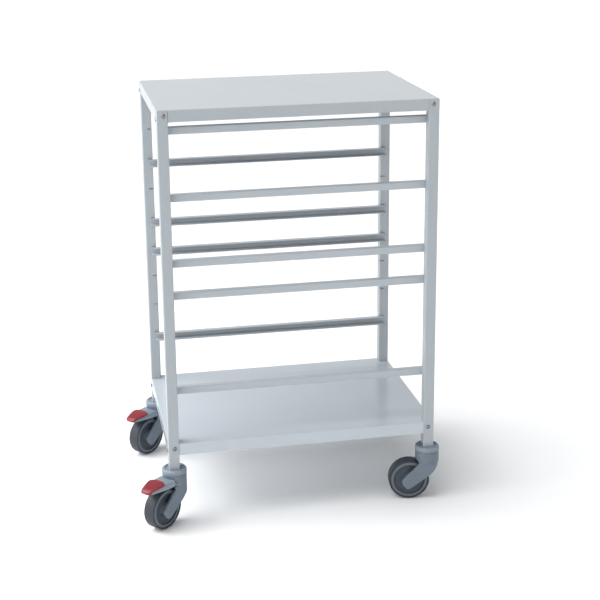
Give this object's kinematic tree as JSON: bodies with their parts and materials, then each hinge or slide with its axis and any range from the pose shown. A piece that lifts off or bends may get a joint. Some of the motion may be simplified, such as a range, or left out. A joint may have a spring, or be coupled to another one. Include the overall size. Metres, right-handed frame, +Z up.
{
  "type": "food service trolley",
  "caption": "Bolted square-tube food service trolley with a flat top tray, bottom shelf, lift-out channel runners for trays, swivel casters and foot brakes.",
  "frame": {"origin": "on the floor, in the middle of the whole footprint with the casters as they stand at rest", "axes": "+Z up; +X along the runners, to the right seen from the front; +Y to the rear"},
  "size_m": [0.7422, 0.5428, 0.998],
  "materials": {
    "painted_steel": "satin light grey-white powder coat",
    "runner_steel": "semi-gloss light grey powder coat",
    "bright_screw": "bright zinc plated",
    "stem_steel": "plain turned steel",
    "plug_plastic": "black moulded plastic",
    "caster_plastic": "moulded grey plastic, fine grain",
    "wheel_plastic": "moulded dark grey plastic",
    "tyre_rubber": "smooth non-marking tread, slate grey",
    "tread_red": "red moulded plastic"
  },
  "bodies": {
    "frame": {"post_front_left": "painted_steel", "post_front_right": "painted_steel", "post_rear_left": "painted_steel", "post_rear_right": "painted_steel", "top_tray": "painted_steel", "bottom_shelf": "painted_steel", "corner_brackets_top": "painted_steel", "corner_brackets_bottom": "painted_steel", "rail_front_1": "runner_steel", "rail_front_2": "runner_steel", "rail_front_3": "runner_steel", "rail_front_4": "runner_steel", "rail_front_5": "runner_steel", "rail_rear_1": "runner_steel", "rail_rear_2": "runner_steel", "rail_rear_3": "runner_steel", "rail_rear_4": "runner_steel", "rail_rear_5": "runner_steel", "frame_screws": "bright_screw", "frame_nuts": "bright_screw", "caster_stems": "stem_steel", "post_plugs": "plug_plastic", "caster_collar_front_left": "caster_plastic", "caster_collar_front_right": "caster_plastic", "caster_collar_rear_left": "caster_plastic", "caster_collar_rear_right": "caster_plastic"},
    "swivel_front_left": {"swivel_race_front_left": "stem_steel", "caster_fork_front_left": "caster_plastic", "wheel_axle_front_left": "stem_steel", "brake_pin_front_left": "stem_steel"},
    "wheel_front_left": {"wheel_core_front_left": "wheel_plastic", "tyre_front_left": "tyre_rubber", "wheel_bearings_front_left": "stem_steel"},
    "swivel_front_right": {"swivel_race_front_right": "stem_steel", "caster_fork_front_right": "caster_plastic", "wheel_axle_front_right": "stem_steel"},
    "wheel_front_right": {"wheel_core_front_right": "wheel_plastic", "tyre_front_right": "tyre_rubber", "wheel_bearings_front_right": "stem_steel"},
    "swivel_rear_left": {"swivel_race_rear_left": "stem_steel", "caster_fork_rear_left": "caster_plastic", "wheel_axle_rear_left": "stem_steel", "brake_pin_rear_left": "stem_steel"},
    "wheel_rear_left": {"wheel_core_rear_left": "wheel_plastic", "tyre_rear_left": "tyre_rubber", "wheel_bearings_rear_left": "stem_steel"},
    "swivel_rear_right": {"swivel_race_rear_right": "stem_steel", "caster_fork_rear_right": "caster_plastic", "wheel_axle_rear_right": "stem_steel"},
    "wheel_rear_right": {"wheel_core_rear_right": "wheel_plastic", "tyre_rear_right": "tyre_rubber", "wheel_bearings_rear_right": "stem_steel"},
    "brake_front_left": {"brake_lever_front_left": "caster_plastic", "brake_shoe_front_left": "tyre_rubber", "brake_tread_front_left": "tread_red"},
    "brake_rear_left": {"brake_lever_rear_left": "caster_plastic", "brake_shoe_rear_left": "tyre_rubber", "brake_tread_rear_left": "tread_red"}
  },
  "joints": [
    {"name": "swivel_front_left", "type": "hinge", "parent": "frame", "child": "swivel_front_left", "pos_m": [-0.2837, -0.19287, 0.122], "axis": [0, 0, 1], "continuous": true},
    {"name": "wheel_front_left", "type": "hinge", "parent": "swivel_front_left", "child": "wheel_front_left", "pos_m": [-0.31699, -0.22285, 0.05], "axis": [-0.6691, 0.7431, 0], "continuous": true},
    {"name": "swivel_front_right", "type": "hinge", "parent": "frame", "child": "swivel_front_right", "pos_m": [0.3413, -0.19287, 0.122], "axis": [0, 0, 1], "continuous": true},
    {"name": "wheel_front_right", "type": "hinge", "parent": "swivel_front_right", "child": "wheel_front_right", "pos_m": [0.29694, -0.18663, 0.05], "axis": [0.1392, 0.9903, 0], "continuous": true},
    {"name": "swivel_rear_left", "type": "hinge", "parent": "frame", "child": "swivel_rear_left", "pos_m": [-0.2837, 0.23713, 0.122], "axis": [0, 0, 1], "continuous": true},
    {"name": "wheel_rear_left", "type": "hinge", "parent": "swivel_rear_left", "child": "wheel_rear_left", "pos_m": [-0.31802, 0.20833, 0.05], "axis": [-0.6428, 0.766, 0], "continuous": true},
    {"name": "swivel_rear_right", "type": "hinge", "parent": "frame", "child": "swivel_rear_right", "pos_m": [0.3413, 0.23713, 0.122], "axis": [0, 0, 1], "continuous": true},
    {"name": "wheel_rear_right", "type": "hinge", "parent": "swivel_rear_right", "child": "wheel_rear_right", "pos_m": [0.29694, 0.24336, 0.05], "axis": [0.1392, 0.9903, 0], "continuous": true},
    {"name": "brake_front_left", "type": "hinge", "parent": "swivel_front_left", "child": "brake_front_left", "pos_m": [-0.29633, -0.20425, 0.111], "axis": [-0.6691, 0.7431, 0], "range_deg": [-7, 0]},
    {"name": "brake_rear_left", "type": "hinge", "parent": "swivel_rear_left", "child": "brake_rear_left", "pos_m": [-0.29672, 0.2262, 0.111], "axis": [-0.6428, 0.766, 0], "range_deg": [-7, 0]}
  ]
}
